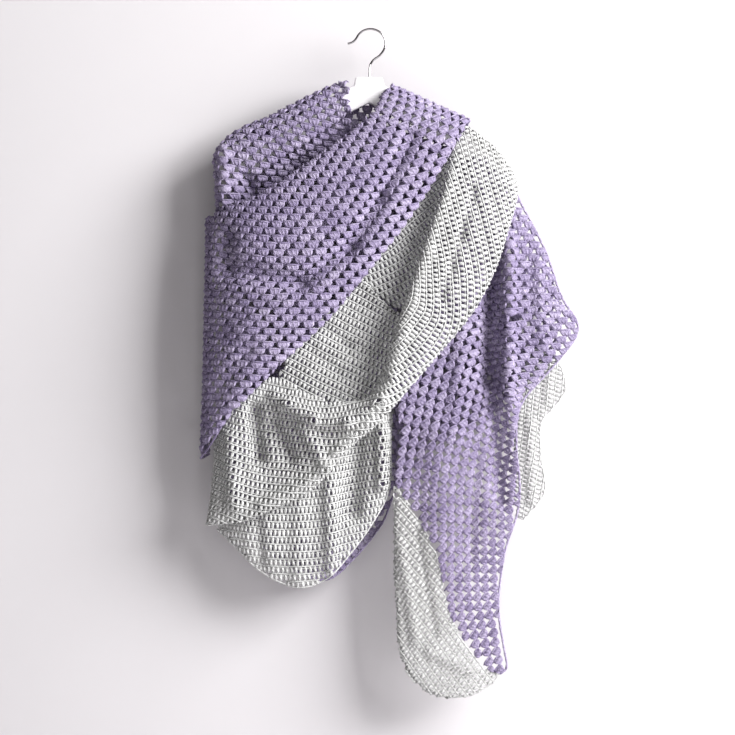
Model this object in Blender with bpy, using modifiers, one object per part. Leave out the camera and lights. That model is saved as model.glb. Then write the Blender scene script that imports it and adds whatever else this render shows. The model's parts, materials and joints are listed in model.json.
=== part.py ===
"""Blanket scarf in two colours, wrapped over a painted wooden hanger with a wire hook.

Lengths are in millimetres. X runs to the viewer's right and Z up from the seat of the hook.
"Out" is the distance from the plane of the hanger towards the viewer, and so is minus Y.
Each stretch of cloth is a loft through the sections of its table, raised along its folds.
"""

from collections import namedtuple

import bmesh
import bpy
import numpy as np

MM = 0.001
CLOTH_WALL = 2.4
SEAM_GAP = 0.5

NECK_HALF_WIDTH = 23
NECK_TOP = -71
ARM_SPAN = 420
ARM_TOP = -84
ARM_SLOPE = 0.46
ARM_DROOP = 0.0012
UNDERSIDE_PEAK = -110
UNDERSIDE_DROOP = 0.00073
WOOD_THICKNESS = 12
WOOD_ROUNDING = 2.5
WIRE_DIAMETER = 3.2
STEM_IN_WOOD = 22

Section = namedtuple(
    "Section",
    "upper_x upper_z upper_out lower_x lower_z lower_out belly bow upper_tuck lower_tuck",
)
Fold = namedtuple("Fold", "start_x start_z end_x end_z reach height")
Bend = namedtuple("Bend", "x z")
Stretch = namedtuple("Stretch", "name sections folds cells_along cells_across colour seam")
Seam = namedtuple("Seam", "neighbour first_row")

# The wire of the hook, from its tip over the seat and down to the stem
HOOK = [
    Bend(-32, -20.5),
    Bend(-27.5, -19.5),
    Bend(-23, -17),
    Bend(-19.5, -13),
    Bend(-15, -6),
    Bend(-7.5, -0.5),
    Bend(2, 1.6),
    Bend(12, -0.5),
    Bend(20.5, -7),
    Bend(24.5, -17),
    Bend(23, -28),
    Bend(16, -38),
    Bend(6.5, -45),
    Bend(1.8, -52),
]
STEM_X = 0.8

# From the nape over the left shoulder, then under the front wrap
COLLAR = [
    Section(-30, -78, 12, -26, -150, 14, 2, 0, 4, 0),
    Section(-50, -82, 1.8, -42, -180, 11.5, 5, 0, 13, 0),
    Section(-99, -105, 0, -88, -218, 7.5, 17, 0, 14, 0),
    Section(-146, -129, 0, -134, -248, 6, 20, 0, 14, 0),
    Section(-188, -147, 0, -174, -273, 4, 23, 0, 14, 0),
    Section(-214, -165, 0, -202, -285, 4, 21, 0, 12, 0),
    Section(-232, -190, -2, -225, -291, 0, 5, 0, 6, 0),
    Section(-224, -207, -9, -214, -300, -9, 0, 0, 4, 0),
]
COLLAR_FOLDS = [
    Fold(-220, -180, -218, -262, 18, 14),
    Fold(-183, -222, -172, -264, 18, -12),
    Fold(-166, -243, -104, -207, 33, -13),
    Fold(-104, -207, -36, -162, 30, -12),
]

# From behind the right shoulder across the chest and round the left side
FRONT_WRAP = [
    Section(38, -111, -15, 140, -176, -15, 0, 0, 0, 0),
    Section(34, -90, -11, 146, -146, -9, 0, 0, 0, 0),
    Section(33, -83, 0, 150, -136, 1, 2, 0, 0, 0),
    Section(22, -98, 22, 135, -160, 31, 8, 0, 4, 8),
    Section(9, -124, 36, 104, -213, 42, 12, 0, 10, 12),
    Section(-30, -160, 45, 64, -276, 48, 14, 0, 12, 14),
    Section(-76, -194, 50, 14, -342, 56, 15, 0, 12, 14),
    Section(-128, -230, 53, -58, -429, 60, 18, 0, 12, 14),
    Section(-176, -258, 51, -134, -501, 56, 20, 0, 10, 12),
    Section(-212, -268, 39, -194, -560, 50, 14, 0, 8, 8),
    Section(-236, -279, 14, -236, -621, 28, 8, -4, 0, 0),
    Section(-243, -288, -4, -252, -642, 4, 2, 4, 0, 0),
    Section(-236, -297, -18, -240, -636, -16, 0, 4, 0, 0),
]
FRONT_WRAP_FOLDS = [
    Fold(62, -165, 16, -255, 20, -9),
    Fold(16, -255, -28, -330, 21, -12),
    Fold(-28, -330, -104, -382, 22, -12),
    Fold(-104, -382, -194, -360, 26, -12),
    Fold(-208, -312, -212, -363, 22, -11),
    Fold(-186, -450, -104, -405, 27, 4),
    Fold(-231, -555, -178, -483, 21, -5),
]

# The layer that shows in shadow between the wrap's lip and the roll
GREY_INNER = [
    Section(104, -183, 7.6, 135, -183, 7.6, 0, 0, 0, 0),
    Section(74, -240, 12, 122, -249, 12, 0, 0, 0, 0),
    Section(40, -297, 17, 104, -315, 16, 2, 0, 0, 0),
    Section(2, -348, 21, 82, -375, 17, 2, 0, 0, 0),
    Section(-28, -387, 21, 58, -423, 16, 0, 0, 0, 0),
]

# The bowl that hangs inside the swag
GREY_POCKET = [
    Section(-118.5, -480, 26, -139.5, -531, 22, 0, 0, 0, 0),
    Section(-58.5, -420, 28, -87, -552, 29, -3, 0, 0, 0),
    Section(-19.5, -372, 32.6, -33, -564, 29, -10, 0, 8, 0),
    Section(16.5, -405, 29, 4.5, -558, 26, -8, 0, 8, 0),
    Section(49.5, -432, 25, 34.5, -531, 24, -3, 0, 5, 0),
]
GREY_POCKET_FOLDS = [
    Fold(-70, -444, -32, -474, 14, -4),
    Fold(-32, -474, 10, -483, 14, -4),
    Fold(-86, -483, -44, -516, 14, -3),
    Fold(-44, -516, 8, -525, 14, -3),
]

# The roll that comes over the right shoulder, turns under and spreads to the left side
GREY_SWAG = [
    Section(150, -186, -16, 212, -243, -15, 0, 0, 0, 0),
    Section(146, -156, -12, 218, -225, -11, 0, 4, 0, 0),
    Section(144, -145, 3, 218, -216, 0, 3, 7, 0, 0),
    Section(126, -174, 24, 222, -244, 16, 11, 0, 6, 4),
    Section(112, -240, 40, 208, -297, 28, 12, 0, 12, 10),
    Section(88, -309, 51, 186, -363, 38, 13, 0, 14, 10),
    Section(66, -375, 56, 154, -423, 46, 13, 0, 14, 10),
    Section(42, -444, 58, 108, -480, 52, 12, 0, 14, 10),
    Section(24, -504, 58, 63, -532, 57, 10, 0, 14, 10),
    Section(0, -549, 54, 15, -586, 58, 10, 0, 8, 10),
    Section(-36, -558, 50, -32, -627, 55, 10, 0, 4, 10),
    Section(-88, -546, 46, -86, -687, 50, 8, 0, 0, 10),
    Section(-141, -520, 40, -146, -717, 46, 0, 0, 0, 10),
    Section(-192, -550, 34, -196, -736, 40, 8, 0, 0, 8),
    Section(-228, -597, 17, -240, -741, 26, 4, 4, 0, 0),
    Section(-225, -606, -8, -232, -732, -9, 0, 0, 0, 0),
]
GREY_SWAG_FOLDS = [
    Fold(136, -172, 116, -240, 15, 4),
    Fold(116, -240, 86, -330, 15, 5),
    Fold(86, -330, 50, -450, 14, 5),
    Fold(50, -450, 34, -518, 14, 5),
    Fold(156, -240, 134, -315, 12, -5),
    Fold(134, -315, 106, -405, 12, -5),
    Fold(34, -522, 16, -558, 14, 7),
    Fold(16, -558, -28, -585, 18, 12),
    Fold(-36, -586, -76, -585, 18, 14),
    Fold(-86, -580, -118, -562, 18, 17),
    Fold(-128, -556, -140, -549, 15, 10),
    Fold(-98, -591, -64, -651, 14, 9),
    Fold(4, -582, -51, -633, 12, 8),
    Fold(-58, -657, -160, -710, 12, 6),
    Fold(-170, -570, -164, -639, 20, -18),
    Fold(-142, -591, -116, -639, 20, -13),
    Fold(-207, -609, -200, -708, 18, 11),
]

# The rounded end that hangs below the swag
LOWER_LOBE = [
    Section(-218, -702, 3, -228, -748, 4, 0, 0, 0, 0),
    Section(-194, -705, 25, -200, -774, 13, 2, 0, 0, 0),
    Section(-158, -693, 36.2, -160, -812, 18, 3, 0, 0, 0),
    Section(-112, -669, 30, -108, -834, 18, 3, 0, 0, 0),
    Section(-70, -639, 30, -64, -822, 18, 3, 0, 0, 0),
    Section(-36, -606, 30, -27, -783, 18, 2, 0, 0, 0),
    Section(-4, -576, 28, 8, -734, 18, 2, 0, 0, 0),
    Section(21, -552, 22, 30, -687, 14, 0, 0, 0, 0),
    Section(34, -543, 6, 33, -615, 2, 0, 0, 0, 0),
]
LOWER_LOBE_FOLDS = [
    Fold(-18, -612, -26, -720, 27, -18),
    Fold(20, -600, 20, -681, 15, 15),
    Fold(-58, -675, -54, -818, 16, 9),
    Fold(-104, -705, -104, -825, 21, 5),
    Fold(-166, -728, -160, -802, 15, -6),
]

# The long end on the right with its corner, down to the colour change
TAIL_LILAC = [
    Section(158, -183, 12, 210, -224, 10, 0, 0, 0, 0),
    Section(140, -255, 15, 228, -260, 0, 2, 0, 0, 0),
    Section(124, -330, 18, 264, -330, -2, 4, 0, 0, 0),
    Section(100, -393, 20, 288, -398, -4, 5, 0, 0, 0),
    Section(82, -442, 22, 314, -448, -6, 6, 0, 0, 0),
    Section(58, -495, 22, 282, -498, -2, 5, 0, 0, 0),
    Section(45, -552, 24, 228, -561, 8, 4, 0, 0, 0),
    Section(45, -615, 26, 220, -624, 12, 4, 0, 0, 0),
    Section(40, -676, 26, 225, -678, 12, 4, 0, 0, 0),
    Section(64, -717, 26, 222, -723, 12, 3, 0, 0, 0),
    Section(98, -777, 25, 204, -778, 13, 2, 0, 0, 0),
    Section(112, -840, 24, 194, -844, 14, 0, 0, 0, 0),
    Section(120, -873, 23, 195, -886, 15, 0, 0, 0, 0),
    Section(135, -902, 22, 200, -916, 16, 0, 0, 0, 0),
    Section(156, -933, 20, 204, -938, 17, 0, 0, 0, 0),
    Section(178, -957, 18, 206, -950, 17, 0, 0, 0, 0),
    Section(195, -964, 17, 204, -958, 17, 0, 0, 0, 0),
]
TAIL_LILAC_FOLDS = [
    Fold(180, -348, 178, -525, 20, -27),
    Fold(178, -525, 196, -705, 21, -13),
    Fold(210, -324, 208, -549, 15, 20),
    Fold(212, -549, 222, -660, 14, 9),
    Fold(256, -352, 264, -480, 14, 4),
    Fold(140, -450, 129, -615, 21, 6),
    Fold(106, -600, 104, -795, 39, 8),
    Fold(164, -615, 152, -795, 15, -5),
]

# The border of the long end, from its outer edge to the colour change
TAIL_GREY = [
    Section(36.3, -693, 25, 39.3, -677.4, 25.6, 0, 0, 0, 0),
    Section(37.5, -735, 24, 63.3, -717.9, 26, 2, 0, 3, 0),
    Section(37.5, -802.5, 24, 96.3, -777.8, 25, 3, 0, 5, 0),
    Section(42, -867, 24, 111.3, -840.4, 24, 3, 0, 6, 0),
    Section(45, -924, 23, 119, -873.4, 23, 3, 0, 6, 0),
    Section(64.5, -970.5, 22, 134, -902.1, 22, 3, 0, 5, 0),
    Section(103.5, -997.5, 21, 155, -933.8, 20, 2, 0, 4, 0),
    Section(148.5, -996, 19, 177.5, -958.1, 18, 1, 0, 0, 0),
    Section(183, -979.5, 17, 194.1, -966, 17, 0, 0, 0, 0),
]
TAIL_GREY_FOLDS = [
    Fold(46, -765, 70, -915, 12, 5),
    Fold(70, -750, 98, -903, 10, -4),
    Fold(92, -930, 152, -957, 15, 5),
]

# The border that hangs behind the corner of the long end
CORNER_GREY = [
    Section(230, -474, -12, 274, -477, -8, 0, 0, 0, 0),
    Section(225, -510, -12, 291, -513, -5, 0, 0, 0, 0),
    Section(220, -542, -12, 294, -542, -7, 0, 0, 0, 0),
    Section(219, -567, -13, 274, -570, -8, 0, 0, 0, 0),
    Section(218, -594, -8, 258, -591, -4, 0, 0, 0, 0),
    Section(218, -639, -5, 258, -640, -1, 0, 0, 0, 0),
    Section(218, -681, -4, 264, -687, 1, 0, 0, 0, 0),
    Section(218, -708, -4, 252, -711, -1, 0, 0, 0, 0),
    Section(219, -728, -4, 231, -734, -3, 0, 0, 0, 0),
]
CORNER_GREY_FOLDS = [
    Fold(274, -495, 268, -555, 10, 4),
    Fold(242, -585, 244, -705, 10, 5),
]

# The layer that hangs behind the hanger
BACK_PANEL = [
    Section(-220, -183, -18, -218, -672, -13, 0, 0, 0, 0),
    Section(-170, -148, -20, -183, -750, -12, 0, 0, 0, 0),
    Section(-104, -116, -21, -122, -804, -12, 0, 0, 0, 0),
    Section(-40, -94, -21, -66, -826, -16, 0, 0, 0, 0),
    Section(0, -94, -21, -24, -795, -20, 0, 0, 0, 0),
    Section(39, -99, -17.2, 20, -741, -25, 0, 0, 0, 0),
    Section(70, -114, -22, 40, -694, -29, 0, 0, 0, 0),
    Section(118, -140, -23, 88, -627, -29, 0, 0, 0, 0),
    Section(164, -170, -26, 136, -600, -30, 0, 0, 0, 0),
    Section(198, -200, -30, 177, -578, -34, 0, 0, 0, 0),
    Section(225, -266, -32, 208, -549, -34, 0, 0, 0, 0),
    Section(258, -330, -31, 248, -501, -30, 0, 0, 0, 0),
    Section(291, -408, -28, 280, -471, -26, 0, 0, 0, 0),
]
BACK_PANEL_FOLDS = [
    Fold(-160, -285, -160, -765, 33, -5),
    Fold(-88, -255, -86, -810, 33, 5),
    Fold(-26, -255, -28, -765, 27, -5),
]

LILAC = (0.36, 0.31, 0.55)
GREY = (0.66, 0.68, 0.64)
WHITE_PAINT = (0.86, 0.86, 0.85)
STEEL = (0.55, 0.55, 0.56)

STRETCHES = [
    Stretch("collar", COLLAR, COLLAR_FOLDS, 16, 12, "lilac", None),
    Stretch("front_wrap", FRONT_WRAP, FRONT_WRAP_FOLDS, 30, 14, "lilac", None),
    Stretch("grey_inner", GREY_INNER, [], 10, 4, "grey", None),
    Stretch("grey_pocket", GREY_POCKET, GREY_POCKET_FOLDS, 12, 9, "grey", None),
    Stretch("grey_swag", GREY_SWAG, GREY_SWAG_FOLDS, 36, 11, "grey", None),
    Stretch("lower_lobe", LOWER_LOBE, LOWER_LOBE_FOLDS, 20, 7, "grey", None),
    Stretch("tail_lilac", TAIL_LILAC, TAIL_LILAC_FOLDS, 32, 13, "lilac", None),
    Stretch("tail_grey", TAIL_GREY, TAIL_GREY_FOLDS, 16, 6, "grey", Seam("tail_lilac", 16)),
    Stretch("corner_grey", CORNER_GREY, CORNER_GREY_FOLDS, 14, 4, "grey", None),
    Stretch("back_panel", BACK_PANEL, BACK_PANEL_FOLDS, 20, 13, "lilac", None),
]


def clear_scene():
    for obj in list(bpy.data.objects):
        bpy.data.objects.remove(obj, do_unlink=True)


def material(name, colour, roughness, metallic=0.0):
    found = bpy.data.materials.new(name)
    found.use_nodes = True
    surface = found.node_tree.nodes["Principled BSDF"]
    surface.inputs["Base Color"].default_value = (*colour, 1.0)
    surface.inputs["Roughness"].default_value = roughness
    surface.inputs["Metallic"].default_value = metallic
    return found


def spline_weights(controls, samples):
    """Catmull-Rom weights of each control point, one row for each sample."""
    weights = np.zeros((samples, controls))
    for row, place in enumerate(np.linspace(0, controls - 1, samples)):
        start = min(int(place), controls - 2)
        t = place - start
        cubic = (
            -0.5 * t**3 + t**2 - 0.5 * t,
            1.5 * t**3 - 2.5 * t**2 + 1,
            -1.5 * t**3 + 2 * t**2 + 0.5 * t,
            0.5 * t**3 - 0.5 * t**2,
        )
        for step, weight in enumerate(cubic):
            index = start - 1 + step
            if index < 0:
                weights[row, 0] += 2 * weight
                weights[row, 1] -= weight
            elif index > controls - 1:
                weights[row, -1] += 2 * weight
                weights[row, -2] -= weight
            else:
                weights[row, index] += weight
    return weights


def section_points(section):
    """Points across the cloth as (x, z, out), with a tuck behind an edge that has one."""
    upper = np.array([section.upper_x, section.upper_z, section.upper_out], float)
    lower = np.array([section.lower_x, section.lower_z, section.lower_out], float)
    chord = (lower - upper)[:2] / np.linalg.norm((lower - upper)[:2])
    sideways = np.array([-chord[1], chord[0]])
    behind = np.array([*(chord * 0.6), -1.0])
    points = [upper + behind * section.upper_tuck]
    first = 0 if section.upper_tuck else 0.05
    last = 1 if section.lower_tuck else 0.95
    for part in (first, 0.12, 0.3, 0.5, 0.7, 0.88, last):
        point = upper + (lower - upper) * part
        rise = 1 - (2 * part - 1) ** 2
        point[2] += section.belly * rise**0.6
        point[:2] += sideways * section.bow * rise
        points.append(point)
    behind[:2] = -behind[:2]
    points.append(lower + behind * section.lower_tuck)
    return points


def raise_folds(points, folds):
    """Moves points towards the viewer along each fold's line, less with distance from it."""
    for fold in folds:
        start = np.array([fold.start_x, fold.start_z], float)
        run = np.array([fold.end_x, fold.end_z], float) - start
        along = np.clip((points[..., :2] - start) @ run / (run @ run), 0, 1)
        gap = points[..., :2] - (start + along[..., None] * run)
        near = np.clip(np.linalg.norm(gap, axis=-1) / fold.reach, 0, 1)
        points[..., 2] += fold.height * np.cos(near * np.pi / 2) ** 2


def close_seam(points, edge):
    """Brings the last column to the neighbour's edge, less the gap, and the others in part."""
    shift = edge - points[:, -1]
    width = points[:, -1] - points[:, 0]
    shift -= width / np.linalg.norm(width, axis=1)[:, None] * SEAM_GAP
    share = np.linspace(0, 1, points.shape[1]) ** 2
    points += shift[:, None] * share[:, None]


def surface_points(stretch, along, across):
    """The middle of the cloth as a grid of x, z, out."""
    controls = np.array([section_points(s) for s in stretch.sections])
    down = spline_weights(controls.shape[0], along + 1)
    over = spline_weights(controls.shape[1], across + 1)
    points = np.einsum("ai,ijk,bj->abk", down, controls, over)
    raise_folds(points, stretch.folds)
    if stretch.seam:
        other = next(s for s in STRETCHES if s.name == stretch.seam.neighbour)
        edge = surface_points(other, other.cells_along, other.cells_across)[:, 0]
        close_seam(points, edge[stretch.seam.first_row :][: along + 1])
    return points


def new_object(name, mesh, collection, look):
    mesh.materials.append(look)
    obj = bpy.data.objects.new(name, mesh)
    collection.objects.link(obj)
    return obj


def build_cloth(stretch, collection, look):
    flat = surface_points(stretch, stretch.cells_along, stretch.cells_across)
    points = np.stack([flat[..., 0], -flat[..., 2], flat[..., 1]], axis=-1) * MM
    rows, columns = points.shape[:2]
    faces = []
    for i in range(rows - 1):
        for j in range(columns - 1):
            corner = i * columns + j
            faces.append((corner, corner + 1, corner + columns + 1, corner + columns))
    mesh = bpy.data.meshes.new(stretch.name)
    mesh.from_pydata(points.reshape(-1, 3).tolist(), [], faces)
    for polygon in mesh.polygons:
        polygon.use_smooth = True
    obj = new_object(stretch.name, mesh, collection, look)
    wall = obj.modifiers.new("cloth wall", "SOLIDIFY")
    wall.thickness = CLOTH_WALL * MM
    wall.offset = 0.0
    wall.use_rim = True
    return obj


def wood_outline():
    """Half of the hanger's outline, then the other half mirrored, as (x, z)."""
    half_span = ARM_SPAN / 2
    places = np.linspace(NECK_HALF_WIDTH, half_span - 8, 10)
    run = places - NECK_HALF_WIDTH
    top = ARM_TOP - ARM_SLOPE * run - ARM_DROOP * run**2
    under = UNDERSIDE_PEAK - ARM_SLOPE * places - UNDERSIDE_DROOP * places**2
    tip_height = (top[-1] + under[-1]) / 2
    right = [(NECK_HALF_WIDTH - 3, NECK_TOP)]
    right += list(zip(places, top))
    right.append((half_span, tip_height - 3))
    right += list(zip(places[::-1], under[::-1]))
    return right + [(0, UNDERSIDE_PEAK)] + [(-x, z) for x, z in right[::-1]]


def build_hanger(collection, look):
    shape = bmesh.new()
    front = [
        shape.verts.new((x * MM, -WOOD_THICKNESS / 2 * MM, z * MM))
        for x, z in wood_outline()
    ]
    face = shape.faces.new(front)
    pushed = bmesh.ops.extrude_face_region(shape, geom=[face])
    moved = [item for item in pushed["geom"] if isinstance(item, bmesh.types.BMVert)]
    bmesh.ops.translate(shape, verts=moved, vec=(0, WOOD_THICKNESS * MM, 0))
    bmesh.ops.recalc_face_normals(shape, faces=shape.faces)
    mesh = bpy.data.meshes.new("hanger_body")
    shape.to_mesh(mesh)
    shape.free()
    obj = new_object("hanger_body", mesh, collection, look)
    rounding = obj.modifiers.new("rounding", "BEVEL")
    rounding.width = WOOD_ROUNDING * MM
    rounding.segments = 2
    rounding.limit_method = "ANGLE"
    return obj


def build_hook(collection, look):
    bends = np.array([(bend.x, bend.z) for bend in HOOK])
    path = spline_weights(len(bends), 3 * len(bends)) @ bends
    stem = [(STEM_X, NECK_TOP + 12), (STEM_X, NECK_TOP + 0.3)]
    path = np.concatenate([path, stem])
    curve = bpy.data.curves.new("hanger_hook", "CURVE")
    curve.dimensions = "3D"
    spline = curve.splines.new("POLY")
    spline.points.add(len(path) - 1)
    for point, (x, z) in zip(spline.points, path):
        point.co = (x * MM, 0, z * MM, 1)
    curve.bevel_depth = WIRE_DIAMETER / 2 * MM
    curve.bevel_resolution = 2
    curve.use_fill_caps = True
    curve.materials.append(look)
    obj = bpy.data.objects.new("hanger_hook", curve)
    collection.objects.link(obj)
    return obj


def build():
    clear_scene()
    collection = bpy.data.collections.new("blanket scarf on a hanger")
    bpy.context.scene.collection.children.link(collection)
    colours = {"lilac": LILAC, "grey": GREY}
    for stretch in STRETCHES:
        look = material(f"{stretch.name} yarn", colours[stretch.colour], 0.9)
        build_cloth(stretch, collection, look)
    build_hanger(collection, material("hanger paint", WHITE_PAINT, 0.45))
    build_hook(collection, material("hook steel", STEEL, 0.25, 1.0))


build()
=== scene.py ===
"""Blanket scarf in two colours, crocheted in open stitches and wrapped over a wooden hanger.

Every stretch of cloth is laid out as in the solid part, by sections in millimetres, and is then
worked in rows of yarn: clusters of three posts in the lilac body, single posts in the grey border.
X runs to the viewer's right, Z up from the seat of the hook, and "out" towards the viewer.
"""

import json
from collections import namedtuple

import bpy
import numpy as np
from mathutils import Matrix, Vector
from mathutils.kdtree import KDTree

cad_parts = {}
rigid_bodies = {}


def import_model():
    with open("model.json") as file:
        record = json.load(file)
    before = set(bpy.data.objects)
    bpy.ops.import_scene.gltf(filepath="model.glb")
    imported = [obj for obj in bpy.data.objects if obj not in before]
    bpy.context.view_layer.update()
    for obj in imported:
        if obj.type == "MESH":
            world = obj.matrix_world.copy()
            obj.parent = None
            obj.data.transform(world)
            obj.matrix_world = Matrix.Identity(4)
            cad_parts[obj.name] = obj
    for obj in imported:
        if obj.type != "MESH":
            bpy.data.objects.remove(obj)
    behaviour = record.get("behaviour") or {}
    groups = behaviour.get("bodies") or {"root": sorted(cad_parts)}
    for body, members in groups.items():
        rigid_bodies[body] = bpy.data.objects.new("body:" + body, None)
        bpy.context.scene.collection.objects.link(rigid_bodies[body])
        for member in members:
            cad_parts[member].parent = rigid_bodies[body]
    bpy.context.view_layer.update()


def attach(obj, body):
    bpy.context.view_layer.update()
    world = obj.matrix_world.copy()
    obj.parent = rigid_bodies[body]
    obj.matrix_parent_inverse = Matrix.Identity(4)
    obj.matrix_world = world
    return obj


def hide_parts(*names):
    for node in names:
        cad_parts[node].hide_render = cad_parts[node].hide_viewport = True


bl_info = {
    "name": "Crochet blanket scarf",
    "version": (1, 0, 0),
    "blender": (4, 5, 0),
    "location": "View3D > Sidebar > Scarf",
    "description": "Makes a two-colour crochet wrap on a hanger from yarn, row by row",
    "category": "Object",
}

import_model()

MM = 0.001
TURN = 2 * np.pi
TINY = 1e-12
# steps and normals of the yarn shorter than this have no direction of their own and stay short
LEAST_RUN = 1e-9

# Where a section has control points between its edges, as shares of its width, and where its
# outermost ones lie if the edge has no tuck
SHARES = (0.12, 0.3, 0.5, 0.7, 0.88)
EDGE_SHARE = 0.05
# how far a tuck leads inwards for each millimetre that it leads behind, and how full a belly is
TUCK_SLOPE = 0.6
BELLY_POWER = 0.6

# How finely the cloth is laid out for the yarn: steps to each cell along it, and steps across it
FINE_ALONG = 4
FINE_ACROSS = 48
# A given lie of the rows counts less with the cube of its distance, from this many millimetres on
LIE_CORE = 5
# Cloth whose normal points towards the viewer by less than EDGE_ON is seen edge on, and its rows
# are trusted in full from EDGE_ON + EDGE_FADE
EDGE_ON = 0.35
EDGE_FADE = 0.3
LEAST_FACING = 0.1
# rounds in which the rows' direction spreads over the cloth that is seen edge on
SPREAD_ROUNDS = 300
# The flat pattern is fitted in at most so many rounds, or until its error is this small
FIT_ROUNDS = 900
FIT_ERROR = 1e-14
SHORTEST_STEP = 0.5 * MM
# A place on the pattern is found in so many rounds, each of at most so many cells
FIND_ROUNDS = 7
FIND_REACH = 3
LEAST_AREA = 1e-9
# a stitch is kept where the cloth comes this near to it, in heights of a row
STITCH_REACH = 0.1

Section = namedtuple(
    "Section",
    "upper_x upper_z upper_out lower_x lower_z lower_out belly bow upper_tuck lower_tuck",
)
Fold = namedtuple("Fold", "start_x start_z end_x end_z reach height")
Seam = namedtuple("Seam", "neighbour first_row")
Stretch = namedtuple(
    "Stretch",
    "name sections folds cells_along colour seam rows flat held seed free_edges",
)
# The tables below hold their sections, folds and lies as plain rows in the order of these fields.
# A lie is that of the rows of stitches at one place of the front view: how many degrees they rise
# towards the viewer's right, or fall where the figure is below zero
Lie = namedtuple("Lie", "x z rise")

# From the nape over the left shoulder, then under the front wrap
COLLAR = [
    (-30, -78, 12, -26, -150, 14, 2, 0, 4, 0),
    (-50, -82, 1.8, -42, -180, 11.5, 5, 0, 13, 0),
    (-99, -105, 0, -88, -218, 7.5, 17, 0, 14, 0),
    (-146, -129, 0, -134, -248, 6, 20, 0, 14, 0),
    (-188, -147, 0, -174, -273, 4, 23, 0, 14, 0),
    (-214, -165, 0, -202, -285, 4, 21, 0, 12, 0),
    (-232, -190, -2, -225, -291, 0, 5, 0, 6, 0),
    (-224, -207, -9, -214, -300, -9, 0, 0, 4, 0),
]
COLLAR_FOLDS = [
    (-220, -180, -218, -262, 18, 14),
    (-183, -222, -172, -264, 18, -12),
    (-166, -243, -104, -207, 33, -13),
    (-104, -207, -36, -162, 30, -12),
]

# From behind the right shoulder across the chest and round the left side
FRONT_WRAP = [
    (38, -111, -15, 140, -176, -15, 0, 0, 0, 0),
    (34, -90, -11, 146, -146, -9, 0, 0, 0, 0),
    (33, -83, 0, 150, -136, 1, 2, 0, 0, 0),
    (22, -98, 22, 135, -160, 31, 8, 0, 4, 8),
    (9, -124, 36, 104, -213, 42, 12, 0, 10, 12),
    (-30, -160, 45, 64, -276, 48, 14, 0, 12, 14),
    (-76, -194, 50, 14, -342, 56, 15, 0, 12, 14),
    (-128, -230, 53, -58, -429, 60, 18, 0, 12, 14),
    (-176, -258, 51, -134, -501, 56, 20, 0, 10, 12),
    (-212, -268, 39, -194, -560, 50, 14, 0, 8, 8),
    (-236, -279, 14, -236, -621, 28, 8, -4, 0, 0),
    (-243, -288, -4, -252, -642, 4, 2, 4, 0, 0),
    (-236, -297, -18, -240, -636, -16, 0, 4, 0, 0),
]
FRONT_WRAP_FOLDS = [
    (62, -165, 16, -255, 20, -9),
    (16, -255, -28, -330, 21, -12),
    (-28, -330, -104, -382, 22, -12),
    (-104, -382, -194, -360, 26, -12),
    (-208, -312, -212, -363, 22, -11),
    (-186, -450, -104, -405, 27, 4),
    (-231, -555, -178, -483, 21, -5),
]

# The layer that shows in shadow between the wrap's lip and the roll
GREY_INNER = [
    (104, -183, 7.6, 135, -183, 7.6, 0, 0, 0, 0),
    (74, -240, 12, 122, -249, 12, 0, 0, 0, 0),
    (40, -297, 17, 104, -315, 16, 2, 0, 0, 0),
    (2, -348, 21, 82, -375, 17, 2, 0, 0, 0),
    (-28, -387, 21, 58, -423, 16, 0, 0, 0, 0),
]

# The bowl that hangs inside the swag
GREY_POCKET = [
    (-118.5, -480, 26, -139.5, -531, 22, 0, 0, 0, 0),
    (-58.5, -420, 28, -87, -552, 29, -3, 0, 0, 0),
    (-19.5, -372, 32.6, -33, -564, 29, -10, 0, 8, 0),
    (16.5, -405, 29, 4.5, -558, 26, -8, 0, 8, 0),
    (49.5, -432, 25, 34.5, -531, 24, -3, 0, 5, 0),
]
GREY_POCKET_FOLDS = [
    (-70, -444, -32, -474, 14, -4),
    (-32, -474, 10, -483, 14, -4),
    (-86, -483, -44, -516, 14, -3),
    (-44, -516, 8, -525, 14, -3),
]

# The roll that comes over the right shoulder, turns under and spreads to the left side
GREY_SWAG = [
    (150, -186, -16, 212, -243, -15, 0, 0, 0, 0),
    (146, -156, -12, 218, -225, -11, 0, 4, 0, 0),
    (144, -145, 3, 218, -216, 0, 3, 7, 0, 0),
    (126, -174, 24, 222, -244, 16, 11, 0, 6, 4),
    (112, -240, 40, 208, -297, 28, 12, 0, 12, 10),
    (88, -309, 51, 186, -363, 38, 13, 0, 14, 10),
    (66, -375, 56, 154, -423, 46, 13, 0, 14, 10),
    (42, -444, 58, 108, -480, 52, 12, 0, 14, 10),
    (24, -504, 58, 63, -532, 57, 10, 0, 14, 10),
    (0, -549, 54, 15, -586, 58, 10, 0, 8, 10),
    (-36, -558, 50, -32, -627, 55, 10, 0, 4, 10),
    (-88, -546, 46, -86, -687, 50, 8, 0, 0, 10),
    (-141, -520, 40, -146, -717, 46, 0, 0, 0, 10),
    (-192, -550, 34, -196, -736, 40, 8, 0, 0, 8),
    (-228, -597, 17, -240, -741, 26, 4, 4, 0, 0),
    (-225, -606, -8, -232, -732, -9, 0, 0, 0, 0),
]
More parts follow.
